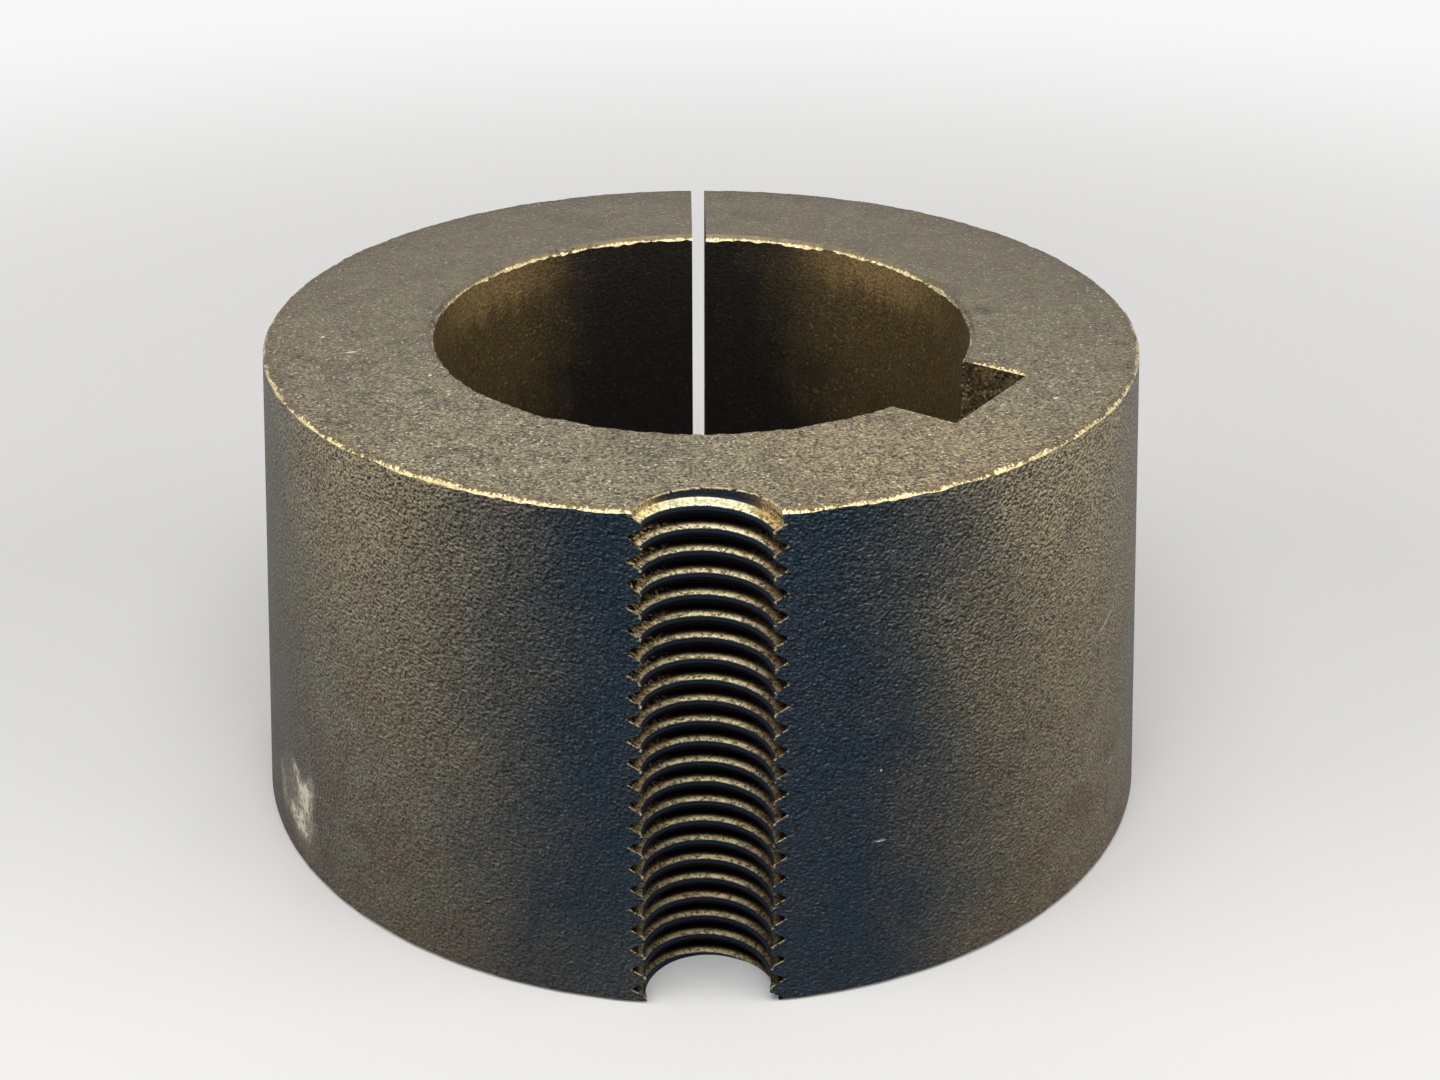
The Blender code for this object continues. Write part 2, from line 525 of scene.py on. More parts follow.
@dataclass(frozen=True)
class Sleeve:
    """The turned, drilled, broached and sawn sleeve. Its main sizes are the solid's.

    The plain holes' facets are turned by hole_turn, so that their corners keep clear of the outside's.
    """

    length: float = 44.45 * MM
    large_radius: float = 42.8625 * MM
    taper: float = 4.0
    bore_radius: float = 24.60625 * MM
    edge_break: float = 0.3 * MM
    base_wear: float = 0.4
    bore_break: float = 0.5 * MM
    split_width: float = 1.4 * MM
    keyway_width: float = 12.7 * MM
    keyway_depth: float = 6.35 * MM
    keyway_azimuth: float = -35.7
    keyway_break: float = 0.3 * MM
    hole_circle_radius: float = 41.275 * MM
    plain_hole_radius: float = 6.7 * MM
    plain_hole_depth: float = 28.6 * MM
    plain_hole_azimuths: tuple[float, ...] = (0.0, 180.0)
    drill_point: float = 118.0
    drill_tip: float = 0.01 * MM
    overrun: float = 4.0 * MM
    segments: int = 720
    hole_segments: int = 72
    hole_turn: float = 1.7

    def outer_radius(self, height: float) -> float:
        """Radius of the outside at a height."""
        return self.large_radius - math.tan(math.radians(self.taper)) * height

    def keyway_floor(self) -> float:
        """Distance of the keyway's floor from the bore's axis."""
        return math.sqrt(self.bore_radius**2 - (self.keyway_width / 2) ** 2) + self.keyway_depth

    def blank(self) -> bpy.types.Object:
        """The turned blank: tapered outside, bore, end faces and unevenly worn edges.

        Returns:
            The blank.
        """
        edges = [WornEdge(self.edge_break, seed) for seed in (1.0, 2.0)]
        edges += [WornEdge(self.edge_break, seed, self.base_wear) for seed in (3.0, 4.0)]
        mouths = [WornEdge(self.bore_break, seed) for seed in (5.0, 6.0, 7.0, 8.0)]
        top, bore = self.length, self.bore_radius
        rows = []
        for i in range(self.segments):
            azimuth = 360 * i / self.segments
            face_in, skin_down, skin_up, base_in = (edge.at(azimuth, self.large_radius) for edge in edges)
            base_out, bore_up, bore_down, face_out = (mouth.at(azimuth, bore) for mouth in mouths)
            profile = [
                (self.outer_radius(top) - face_in, top),
                (self.outer_radius(top - skin_down), top - skin_down),
                (self.outer_radius(skin_up), skin_up),
                (self.large_radius - base_in, 0.0),
                (bore + base_out, 0.0),
                (bore, bore_up),
                (bore, top - bore_down),
                (bore + face_out, top),
            ]
            rows.append([polar(radius, azimuth, height) for radius, height in profile])
        sections = [list(section) for section in zip(*rows)]
        bands = [Region.RIM, Region.SKIN, Region.RIM, Region.END_FACE]
        bands += [Region.RIM, Region.BORE, Region.RIM, Region.END_FACE]
        return loft("blank", sections, bands, closed=True)

    def split_cutter(self) -> bpy.types.Object:
        """The saw cut through the back of the wall.

        Returns:
            The cutter.
        """
        reach, heights = self.large_radius + self.overrun, (-self.overrun, self.length + self.overrun)
        sections = [slab_section(reach, self.split_width / 2, height) for height in heights]
        return place(loft("split_cutter", sections, [Region.CUT_WALL]), Vector(), 90.0)

    def keyway_cutter(self) -> bpy.types.Object:
        """The keyway, flared at both ends, where its edges are broken.

        Returns:
            The cutter.
        """
        half, floor, edge = self.keyway_width / 2, self.keyway_floor(), self.keyway_break
        ends = [(-edge, 2 * edge), (edge, 0.0), (self.length - edge, 0.0), (self.length + edge, 2 * edge)]
        sections = [slab_section(floor + wider, half + wider, height) for height, wider in ends]
        bands = [Region.RIM, Region.CUT_WALL, Region.RIM]
        return place(loft("keyway_cutter", sections, bands), Vector(), self.keyway_azimuth)

    def plain_hole_cutters(self) -> list[bpy.types.Object]:
        """The two blind half holes, drilled from the large end.

        Returns:
            A cutter for each hole.
        """
        radius, depth = self.plain_hole_radius, self.plain_hole_depth
        point = radius / math.tan(math.radians(self.drill_point / 2))
        tip = self.drill_tip
        profile = [(radius, -self.overrun), (radius, depth), (tip, depth + point - tip)]
        cutters = []
        for azimuth in self.plain_hole_azimuths:
            sections = [circle(r, z, self.hole_segments, self.hole_turn) for r, z in profile]
            cutter = loft("plain_hole_cutter", sections, [Region.CUT_WALL] * 2)
            cutters.append(place(cutter, polar(self.hole_circle_radius, azimuth), azimuth))
        return cutters


# The thread


class GeometryTree(Tree):
    """A Geometry Nodes tree with named inputs."""

    def __init__(self, name: str) -> None:
        """Start a tree.

        Args:
            name: The tree's name.
        """
        self.group = bpy.data.node_groups.new(name, "GeometryNodeTree")
        super().__init__(self.group.nodes, self.group.links)
        self.group.interface.new_socket("Geometry", in_out="OUTPUT", socket_type="NodeSocketGeometry")
        self._entry = self._nodes.new("NodeGroupInput")

    def size(self, name: str, default: float | int) -> Socket:
        """Add an input.

        Args:
            name: Its name.
            default: Its value where none is set. A whole number makes it a whole-number input.

        Returns:
            Its socket inside the tree.
        """
        kind = "NodeSocketInt" if isinstance(default, int) else "NodeSocketFloat"
        socket = self.group.interface.new_socket(name, in_out="INPUT", socket_type=kind)
        socket.default_value = default
        return Socket(self, self._entry.outputs[name])

    def end(self, geometry: Socket, material: bpy.types.Material) -> None:
        """Close the tree: real geometry with a material.

        Args:
            geometry: What the tree makes.
            material: The material.
        """
        real = self.node("GeometryNodeRealizeInstances", {}, {"Geometry": geometry})
        dressed = self.node("GeometryNodeSetMaterial", {}, {"Geometry": real, "Material": material})
        self.node("NodeGroupOutput", {}, {"Geometry": dressed}, None)

    def made(self, name: str, values: dict[str, float | int]) -> bpy.types.Mesh:
        """Run the tree and keep what it makes as a plain mesh.

        Args:
            name: The mesh's name.
            values: Values of the inputs, by name.

        Returns:
            The mesh.
        """
        holder = bpy.data.objects.new(name, bpy.data.meshes.new(name))
        modifier = holder.modifiers.new(name, "NODES")
        modifier.node_group = self.group
        for item in self.group.interface.items_tree:
            if item.in_out == "INPUT":
                modifier[item.identifier] = values[item.name]
        bpy.context.scene.collection.objects.link(holder)
        graph = bpy.context.evaluated_depsgraph_get()
        mesh = bpy.data.meshes.new_from_object(holder.evaluated_get(graph))
        bpy.data.objects.remove(holder)
        return mesh


@dataclass(frozen=True)
class JackingThread:
    """The right-hand thread in the half hole at the front: 13 turns to the inch, 12.7 mm across.

    The profile's corners lie at sixteenths of the pitch, so the rod has 16 rows to a pitch. The mouth
    at the small end is wider than the drilled hole and stands mouth_inset nearer to the bore. Within
    blunt_depth of the small end the grooves are only as deep as the mouth.
    """

    pitch: float = 25.4 / 13 * MM
    root_radius: float = 6.35 * MM
    flank_angle: float = 60.0
    half_flat: float = 1 / 16
    depth_share: float = 5 / 8
    first_groove_depth: float = 0.6 * MM
    mouth_radius: float = 6.0 * MM
    mouth_depth: float = 0.5 * MM
    mouth_inset: float = 0.2 * MM
    mouth_overhang: float = 0.04 * MM
    mouth_turn: float = 1.3
    cone_overlap: float = 0.3 * MM
    blunt_depth: float = 1.5 * MM
    blunt_fade: float = 0.06 * MM
    azimuth: float = -90.0
    tear: float = 0.045 * MM
    tear_size: float = 0.45 * MM
    spare_turns: int = 2
    steps: int = 94
    rows: int = 16

    def flank_slope(self) -> float:
        """Half the width of a sharp groove over its depth."""
        return math.tan(math.radians(self.flank_angle / 2))

    def crest_radius(self) -> float:
        """Radius of the drilled hole, which the crests keep."""
        sharp = self.pitch / 2 / self.flank_slope()
        return self.root_radius - self.depth_share * sharp

    def start(self, sleeve: Sleeve) -> float:
        """Height of the lowest groove's middle, at azimuth 0 about the hole's own axis."""
        return (sleeve.length - self.first_groove_depth - self.pitch / 4) % self.pitch

    def _tree(self, material: bpy.types.Material, sizes: dict[str, float | int]) -> GeometryTree:
        """A threaded rod: a flat grid, a pitch high, wound up a helix, with its surface a little torn.

        Args:
            material: What it is finished in.
            sizes: The tree's inputs by name, in the order in which they are read here.

        Returns:
            The tree.
        """
        tree = GeometryTree("threaded_rod")
        pitch, crest, root, slope, turns, steps, rows, tear, blunt_radius, blunt_inset, blunt_from = (
            tree.size(name, value) for name, value in sizes.items()
        )
        grid = tree.node(
            "GeometryNodeMeshGrid",
            {},
            {"Size X": turns, "Size Y": 1.0, "Vertices X": turns * steps + 1, "Vertices Y": rows + 1},
        )
        along, row, _ = tree.parts(tree.node("GeometryNodeInputPosition", {}, {}))
        turn = along + turns * 0.5
        groove = root - (abs(row) * pitch - pitch * self.half_flat) / slope
        angle = turn * math.tau
        height = (turn + row) * pitch
        blunt = root - blunt_radius - blunt_inset * angle.sine()
        blunt = blunt * (height - blunt_from).ramp(-self.blunt_fade, self.blunt_fade)
        radius = groove.at_most(root - blunt).at_least(crest)
        spot = tree.scaled(tree.point(angle.cosine(), angle.sine(), height / radius), radius)
        tears = tree.noise(tree.scaled(spot, 1 / self.tear_size), 2.0, 0.6)
        torn = radius + (tears - 0.5) * tear * 2
        moved = tree.point(angle.cosine() * torn, angle.sine() * torn, height)
        wound = tree.node("GeometryNodeSetPosition", {}, {"Geometry": grid, "Position": moved})
        welded = tree.node("GeometryNodeMergeByDistance", {}, {"Geometry": wound, "Distance": WELD / 2})
        tree.end(welded, material)
        return tree

    def rod_cutter(self, sleeve: Sleeve, material: bpy.types.Material) -> bpy.types.Object:
        """The tap: the threaded rod, capped, on the hole's axis and past both ends of the sleeve.

        Args:
            sleeve: The sleeve it cuts.
            material: What the thread is finished in.

        Returns:
            The cutter.
        """
        below = self.start(sleeve) - self.spare_turns * self.pitch
        sizes = {
            "Pitch": self.pitch,
            "Crest Radius": self.crest_radius(),
            "Root Radius": self.root_radius,
            "Flank Slope": self.flank_slope(),
            "Turns": math.ceil(sleeve.length / self.pitch) + 2 * self.spare_turns,
            "Steps per Turn": self.steps,
            "Rows per Pitch": self.rows,
            "Tear": self.tear,
            "Blunt Radius": self.mouth_radius + self.mouth_overhang,
            "Blunt Inset": self.mouth_inset,
            "Blunt From": sleeve.length - self.blunt_depth - below,
        }
        mesh = self._tree(material, sizes).made("threaded_rod", sizes)
        bm = bmesh.new()
        bm.from_mesh(mesh)
        bpy.data.meshes.remove(mesh)
        heights = [vertex.co.z for vertex in bm.verts]
        low, high = min(heights), max(heights)
        tips = [bm.verts.new((0.0, 0.0, z)) for z in (low - self.pitch, high + self.pitch)]
        for edge in [edge for edge in bm.edges if edge.is_boundary]:
            bm.faces.new((*edge.verts, tips[edge.verts[0].co.z > (low + high) / 2]))
        for face in bm.faces:
            face.material_index = Region.THREAD.value
        rod = new_object("rod_cutter", bm)
        return place(rod, polar(sleeve.hole_circle_radius, self.azimuth, below), 0.0)

    def mouth_cutter(self, sleeve: Sleeve) -> bpy.types.Object:
        """The wider mouth at the small end, coned down into the drilled hole.

        Args:
            sleeve: The sleeve it cuts.

        Returns:
            The cutter.
        """
        core = self.crest_radius() - self.cone_overlap
        shoulder = sleeve.length - self.mouth_depth
        cone = (self.mouth_radius - core) / math.tan(math.radians(sleeve.drill_point / 2))
        profile = [(core, shoulder - cone), (self.mouth_radius, shoulder),
                   (self.mouth_radius, sleeve.length + sleeve.overrun / 2)]
        sections = [circle(r, z, sleeve.hole_segments, self.mouth_turn) for r, z in profile]
        cutter = loft("mouth_cutter", sections, [Region.THREAD] * 2)
        return place(cutter, polar(sleeve.hole_circle_radius - self.mouth_inset, self.azimuth), 0.0)

    def groove_phase(self, tree: ShaderTree, sleeve: Sleeve) -> Socket:
        """Place within the pitch: 0 in a groove's middle, 0.5 on the crests, negative where it faces up.

        Args:
            tree: The material's tree.
            sleeve: The sleeve.

        Returns:
            A value from -0.5 to 0.5.
        """
        across, out = self._from_axis(tree, sleeve)
        turn = out.angle_over(across) / math.tau
        return ((tree.z - self.start(sleeve)) / self.pitch - turn + 0.5).fraction() - 0.5

    def axis_distance(self, tree: ShaderTree, sleeve: Sleeve, inset: float = 0.0) -> Socket:
        """Distance from the hole's axis, or from one that much nearer to the bore."""
        across, out = self._from_axis(tree, sleeve, inset)
        return (across * across + out * out).root()

    def _from_axis(self, tree: ShaderTree, sleeve: Sleeve, inset: float = 0.0) -> tuple[Socket, Socket]:
        """Offsets along X and Y from the hole's axis, or from one that much nearer to the bore."""
        axis = polar(sleeve.hole_circle_radius - inset, self.azimuth)
        return tree.x - axis.x, tree.y - axis.y

    def off_middle(self, tree: ShaderTree, sleeve: Sleeve) -> Socket:
        """0 along the hole's deepest line, and about 1 where the hole meets the skin."""
        across, _ = self._from_axis(tree, sleeve)
        return abs(across) / self.axis_distance(tree, sleeve)

    def wall_distance(self, tree: ShaderTree, sleeve: Sleeve) -> Socket:
        """How far a point lies outside the groove and the drilled hole.

        Args:
            tree: The material's tree.
            sleeve: The sleeve.

        Returns:
            The distance, negative inside them.
        """
        groove = (abs(self.groove_phase(tree, sleeve)) - self.half_flat) * self.pitch
        reach = self.root_radius - groove / self.flank_slope()
        wall = reach.at_most(self.root_radius).at_least(self.crest_radius())
        return self.axis_distance(tree, sleeve) - wall


# Finishes


@dataclass(frozen=True)
class Mark:
    """A small patch on the surface, longer one way than the other."""

    half_length: float
    half_width: float
    lean: float = 0.0

    def share(self, across: Socket, up: Socket) -> Socket:
        """1 in the patch's middle, falling to 0 at its edge.

        Args:
            across: Distance from the middle, to the right.
            up: Distance from the middle, upwards.

        Returns:
            The share.
        """
        turn = math.radians(self.lean)
        along = (up * math.cos(turn) + across * math.sin(turn)) / self.half_length
        aside = (across * math.cos(turn) - up * math.sin(turn)) / self.half_width
        return (along * along + aside * aside).root().ramp(1.0, 0.2)


@dataclass(frozen=True)
class SkinMark:
    """A mark on the outside, at an azimuth from the front and a height."""

    azimuth: float
    height: float
    strength: float
    mark: Mark

    def share(self, tree: ShaderTree, radius: float) -> Socket:
        """How much of the mark shows.

        Args:
            tree: The material's tree.
            radius: The skin's radius, which turns angles into lengths.

        Returns:
            The share.
        """
        across = (tree.azimuth - math.radians(self.azimuth)) * radius
        return self.mark.share(across, tree.z - self.height) * self.strength


@dataclass(frozen=True)
class FaceMark:
    """A mark on the small end's face, at a radius and an azimuth from the front."""

    radius: float
    azimuth: float
    mark: Mark

    def share(self, tree: ShaderTree) -> Socket:
        """How much of the mark shows."""
        spot = polar(self.radius, self.azimuth - 90.0)
        return self.mark.share(tree.x - spot.x, tree.y - spot.y)


@dataclass(frozen=True)
class PebbledSkin:
    """The tapered outside: a dark coat on a blasted pebble, bronze at the sides and a dark blue painted
    reflection in front.
    """

    slate_reflection: Colour = (0.0125, 0.0270, 0.044)
    bronze: Colour = (0.208, 0.176, 0.112)
    grey_reflection: Colour = (0.118, 0.120, 0.110)
    ash_and_blue_reflection: Colour = (0.152, 0.160, 0.147)
    rust: Colour = (0.140, 0.095, 0.064)
    umber: Colour = (0.112, 0.096, 0.070)
    pit: Colour = (0.012, 0.012, 0.012)
    worn: Colour = (0.480, 0.420, 0.290)
    chalk: Colour = (0.850, 0.800, 0.640)
    gold: Colour = (0.720, 0.560, 0.300)
    scuffs: tuple[SkinMark, ...] = (
        SkinMark(-59.1, 7.4 * MM, 1.30, Mark(1.9 * MM, 1.5 * MM, 20.0)),
        SkinMark(-60.6, 8.4 * MM, 0.90, Mark(2.9 * MM, 1.0 * MM, -53.0)),
        SkinMark(-57.4, 8.0 * MM, 0.60, Mark(2.8 * MM, 1.5 * MM, 12.0)),
        SkinMark(-61.0, 4.1 * MM, 0.95, Mark(3.6 * MM, 1.5 * MM, -84.0)),
        SkinMark(-59.0, 5.5 * MM, 0.55, Mark(3.2 * MM, 2.4 * MM)),
        SkinMark(-67.0, 5.3 * MM, 0.40, Mark(3.6 * MM, 1.5 * MM, -19.0)),
        SkinMark(-61.0, 5.4 * MM, 0.28, Mark(6.6 * MM, 4.6 * MM, -45.0)),
    )
    scratches: tuple[SkinMark, ...] = (
        SkinMark(58.8, 24.5 * MM, 0.45, Mark(2.8 * MM, 0.20 * MM, 72.0)),
        SkinMark(19.9, 14.1 * MM, 0.80, Mark(0.7 * MM, 0.14 * MM, 90.0)),
        SkinMark(19.9, 20.7 * MM, 0.80, Mark(0.16 * MM, 0.16 * MM)),
        SkinMark(61.5, 9.4 * MM, 0.60, Mark(0.9 * MM, 0.18 * MM, 70.0)),
    )

    def material(self, sleeve: Sleeve, thread: JackingThread) -> bpy.types.Material:
        """Build the material.

        Args:
            sleeve: The sleeve it covers.
            thread: The thread that breaks out through it.

        Returns:
            The material.
        """
        t = ShaderTree("pebbled_skin")
        pebble = self._pebble(t, 0.0)
        # Painted light on the pebble: slopes that face up and to the left come out lighter, those facing
        # down and right darker.
        painted_emboss_light = self._pebble(t, -0.3) - self._pebble(t, 0.3)
        grit = t.grains(0.16 * MM, stretch=(1.2, 1.2, 1.0), shift=5.0)
        level = t.z / sleeve.length
        side, limb = self._zones(t, level)
        low_left = t.z.ramp(12 * MM, 3 * MM) * t.x.ramp(-3 * MM, -7 * MM)
        # Bronze coat at the sides and a dark blue painted reflection in front; the lower left takes a
        # little more bronze.
        colour = t.mix(side.at_least(low_left * 0.13), self.slate_reflection, self.bronze)
        # A cool greyish tint on the lower left, partly the coat and partly a painted blue reflection.
        cool = side * t.x.ramp(-12 * MM, -32 * MM) * (1 - level)
        colour = t.mix(cool * t.z.ramp(0.0, 12 * MM).spread(0.5, 1.0) * 0.75, colour, self.ash_and_blue_reflection)
        # Further round towards the limbs, a greyish painted reflection.
        colour = t.mix(limb * 0.8, colour, self.grey_reflection)
        colour = t.mix(abs(t.azimuth).ramp(1.45, 2.2) * 0.75, colour, self.umber)
        colour = t.mix(self._rust(t) * side.spread(0.1, 0.75), colour, self.rust)
        # Painted light and shade: the sides lighter towards the top, and the lower left and the far left
        # darker.
        painted_light_and_shade = (level * level).spread(-0.20, 0.42) * side * (1 - limb * 0.5) - low_left * 0.08
        shade = painted_light_and_shade - t.x.ramp(-28 * MM, -40 * MM) * 0.25 + 1.0
        # The pebble's contrast is painted to follow the light: stronger higher up and towards the right,
        # weaker at the limbs.
        contrast = (1 - limb * 0.5) * level.spread(0.65, 1.3)
        contrast = contrast * t.x.ramp(-5 * MM, 15 * MM).spread(1.0, 1.25)
        # Painted light and shade on the pebble: ridges lighter, hollows darker, lit slopes lighter still,
        # then the grain.
        tone = (pebble.ramp(0.34, 0.66) - 0.5) * 0.45 + painted_emboss_light * 2.9 + (grit - 0.5) * 0.72
        colour = t.scaled(colour, (tone * contrast + 1.0).at_least(0.15) * shade)
        # Painted shade in the pebble's hollows.
        colour = t.mix(pebble.ramp(0.36, 0.26) * 0.6 * contrast, colour, self.pit)
        # Painted glints: light specks on the pebble's lit slopes, in the worn colour.
        glint = painted_emboss_light.ramp(0.06, 0.20) * grit.ramp(0.45, 0.95) * contrast
        colour = t.mix(glint * side.spread(0.14, 0.45), colour, self.worn)
        colour = t.mix(self._marks(t, sleeve), colour, self.chalk)
        burr = thread.wall_distance(t, sleeve).ramp(0.30 * MM, 0.06 * MM) * t.y.ramp(0.0, -1 * MM)
        burr = burr * thread.groove_phase(t, sleeve).ramp(0.0, -0.08) * grit.ramp(0.2, 0.6)
        colour = t.mix(burr * 0.8, colour, self.gold)
        normal = t.relief(grit, 0.04 * MM, t.relief(pebble, 1.60 * MM))
        return t.finish(colour, pebble.spread(0.40, 0.60), 0.55, normal, specular=0.2)

    def _pebble(self, t: ShaderTree, raised: float) -> Socket:
        """The pebble's height, read so many pebbles above the point and half as many to its left."""
        beside = (-0.5 * raised, 0.0, raised)
        return t.clouds(0.25 * MM, 2.0, 0.55, 0.5, stretch=(1.25, 1.25, 1.0), beside=beside)

    def _zones(self, t: ShaderTree, level: Socket) -> tuple[Socket, Socket]:
        """Shares of the bronze at the sides, beside the painted reflection in front, and of the greyish
        painted reflection further round.

        Args:
            t: The material's tree.
            level: Height over the sleeve's length. Both start a little further round low down.

        Returns:
            The two shares.
        """
        drift = t.clouds(9 * MM, 3.0)
        away = abs(t.azimuth - 0.03) + (drift - 0.5) * 0.30 - (1 - level) * 0.06
        return away.ramp(0.20, 0.84), away.ramp(0.88, 1.28)

    def _rust(self, t: ShaderTree) -> Socket:
        """Share of the reddish mottling, most of it near the base, and of the reddish base itself.

        Args:
            t: The material's tree.

        Returns:
            The share.
        """
        patches = t.clouds(5 * MM, 3.0, 0.6, 0.5, shift=3.0).ramp(0.44, 0.62)
        patches = patches * t.z.ramp(30 * MM, 2 * MM).spread(0.35, 1.0)
        return patches.at_least(t.z.ramp(8 * MM, 0.0) * 0.45)

    def _marks(self, t: ShaderTree, sleeve: Sleeve) -> Socket:
        """Share of the pale scuffs, which are patchy, and of the scratches.

        Args:
            t: The material's tree.
            sleeve: The sleeve they lie on.

        Returns:
            The share.
        """
        patchy = t.clouds(0.55 * MM, 3.0, 0.7, 0.4, stretch=(1.0, 1.0, 1.5), shift=7.0).ramp(0.40, 0.60)
        scuffed = sum(scuff.share(t, sleeve.large_radius) for scuff in self.scuffs)
        scratched = sum(scratch.share(t, sleeve.large_radius) for scratch in self.scratches)
        return (scuffed * patchy.spread(0.25, 1.0) + scratched).at_most(1.0) * 0.85


@dataclass(frozen=True)
class SandyFace:
    """The end faces: lighter, with a sandy grain, bright nicks, painted glints, faint smudges and painted
    shade towards the back.
    """

    sand: Colour = (0.252, 0.218, 0.132)
    ochre: Colour = (0.215, 0.172, 0.116)
    smudge: Colour = (0.125, 0.102, 0.066)
    warm: Colour = (0.360, 0.250, 0.120)
    tan: Colour = (0.190, 0.128, 0.058)
    bright: Colour = (0.850, 0.810, 0.660)
    pit: Colour = (0.050, 0.042, 0.030)
    smudges: tuple[FaceMark, ...] = (
        FaceMark(33.4 * MM, -60.9, Mark(1.9 * MM, 1.2 * MM, 80.0)),
        FaceMark(28.7 * MM, -56.0, Mark(1.9 * MM, 1.1 * MM, 80.0)),
        FaceMark(34.6 * MM, -36.0, Mark(1.5 * MM, 0.8 * MM, 80.0)),
        FaceMark(27.3 * MM, -43.4, Mark(1.4 * MM, 0.8 * MM, 80.0)),
        FaceMark(26.6 * MM, 96.0, Mark(1.4 * MM, 1.7 * MM, 60.0)),
    )
    streaks: tuple[FaceMark, ...] = (
        FaceMark(37.1 * MM, 27.8, Mark(3.1 * MM, 0.26 * MM, 73.0)),
        FaceMark(35.5 * MM, 41.9, Mark(2.0 * MM, 0.30 * MM, 81.0)),
        FaceMark(32.4 * MM, 70.1, Mark(2.4 * MM, 0.24 * MM, 51.0)),
        FaceMark(38.1 * MM, 81.3, Mark(1.6 * MM, 0.24 * MM, 90.0)),
        FaceMark(37.5 * MM, -71.1, Mark(1.5 * MM, 0.30 * MM, 82.0)),
    )
    nicks: tuple[FaceMark, ...] = (
        FaceMark(32.0 * MM, -77.9, Mark(0.7 * MM, 0.24 * MM, 76.0)),
        FaceMark(34.5 * MM, -85.0, Mark(0.3 * MM, 0.26 * MM)),
        FaceMark(26.7 * MM, -62.9, Mark(0.3 * MM, 0.24 * MM)),
        FaceMark(30.7 * MM, 11.2, Mark(0.3 * MM, 0.20 * MM, 60.0)),
        FaceMark(34.9 * MM, 59.0, Mark(0.4 * MM, 0.28 * MM, 60.0)),
    )

    def material(self, sleeve: Sleeve) -> bpy.types.Material:
        """Build the material.

        Args:
            sleeve: The sleeve whose ends it covers.

        Returns:
            The material.
        """
        t = ShaderTree("sandy_face")
        clouds = t.clouds(7 * MM, 3.0, 0.55, 0.6)
        sand = t.clouds(0.28 * MM, 2.0, 0.6, 0.5)
        grit = t.grains(0.18 * MM, shift=3.0)
        coarse = t.clouds(1.0 * MM, 2.0, 0.5, shift=2.0)
        spots = t.clouds(2.6 * MM, 2.0, shift=6.0).ramp(0.60, 0.70)
        spots = spots * t.x.ramp(20 * MM, -10 * MM).spread(0.3, 1.0)
        mottle = t.clouds(2.2 * MM, 3.0, 0.6, 0.4, stretch=(1.6, 1.0, 1.0), shift=8.0).ramp(0.42, 0.60)
        near = t.y.ramp(22 * MM, -36 * MM)
        clouded = clouds.ramp(0.52, 0.68) * 0.6 + spots * 0.45
        colour = t.mix(clouded.at_most(0.8), self.sand, self.smudge)
        colour = t.mix(mottle * near.spread(0.75, 0.30), colour, self.ochre)
        dark = sum(streak.share(t) for streak in self.streaks)
        dark = dark + sum(smudge.share(t) for smudge in self.smudges) * 0.8
        dark = dark * coarse.ramp(0.35, 0.55).spread(0.4, 0.8) * t.z.ramp(0.0, sleeve.length)
        colour = t.mix(dark.at_most(0.8), colour, self.pit)
        edge = sleeve.outer_radius(sleeve.length)
        colour = t.mix(abs(t.azimuth - 0.5).ramp(0.55, 0.15) * 0.3, colour, self.warm)
        rim = t.radius.ramp(edge - 1.5 * MM, edge - 0.4 * MM) * coarse.ramp(0.36, 0.56)
        colour = t.mix(rim * 0.65, colour, self.tan)
        contrast = near.spread(0.35, 1.0)
        tone = (sand.ramp(0.34, 0.66) - 0.5) * 1.2 + (coarse - 0.5) * 1.2 + (grit - 0.5) * 1.2
        # Painted shade: the face darkens towards the back, and a little more near its far outer edge.
        far_ring = t.radius.ramp(edge - 5 * MM, edge - 1.5 * MM) * t.y.ramp(5 * MM, 30 * MM)
        shade = near.spread(0.61, 0.94) * (1 - far_ring * 0.15)
        colour = t.scaled(colour, (tone * contrast + 1.0).at_least(0.12) * shade)
        # Painted shade in the sand's hollows.
        colour = t.mix(sand.ramp(0.36, 0.26) * 0.8 * contrast, colour, self.pit)
        # Painted glints on the raised sand, and the real bright nicks.
        glint = sand.ramp(0.48, 0.60) * grit.ramp(0.90, 0.98) * contrast
        glint = glint + sum(nick.share(t) for nick in self.nicks)
        colour = t.mix(glint.at_most(0.95), colour, self.bright)
        normal = t.relief(sand, 0.70 * MM, t.relief(coarse, 0.20 * MM))
        return t.finish(colour, sand.spread(0.42, 0.62), 0.4, normal, specular=0.2)


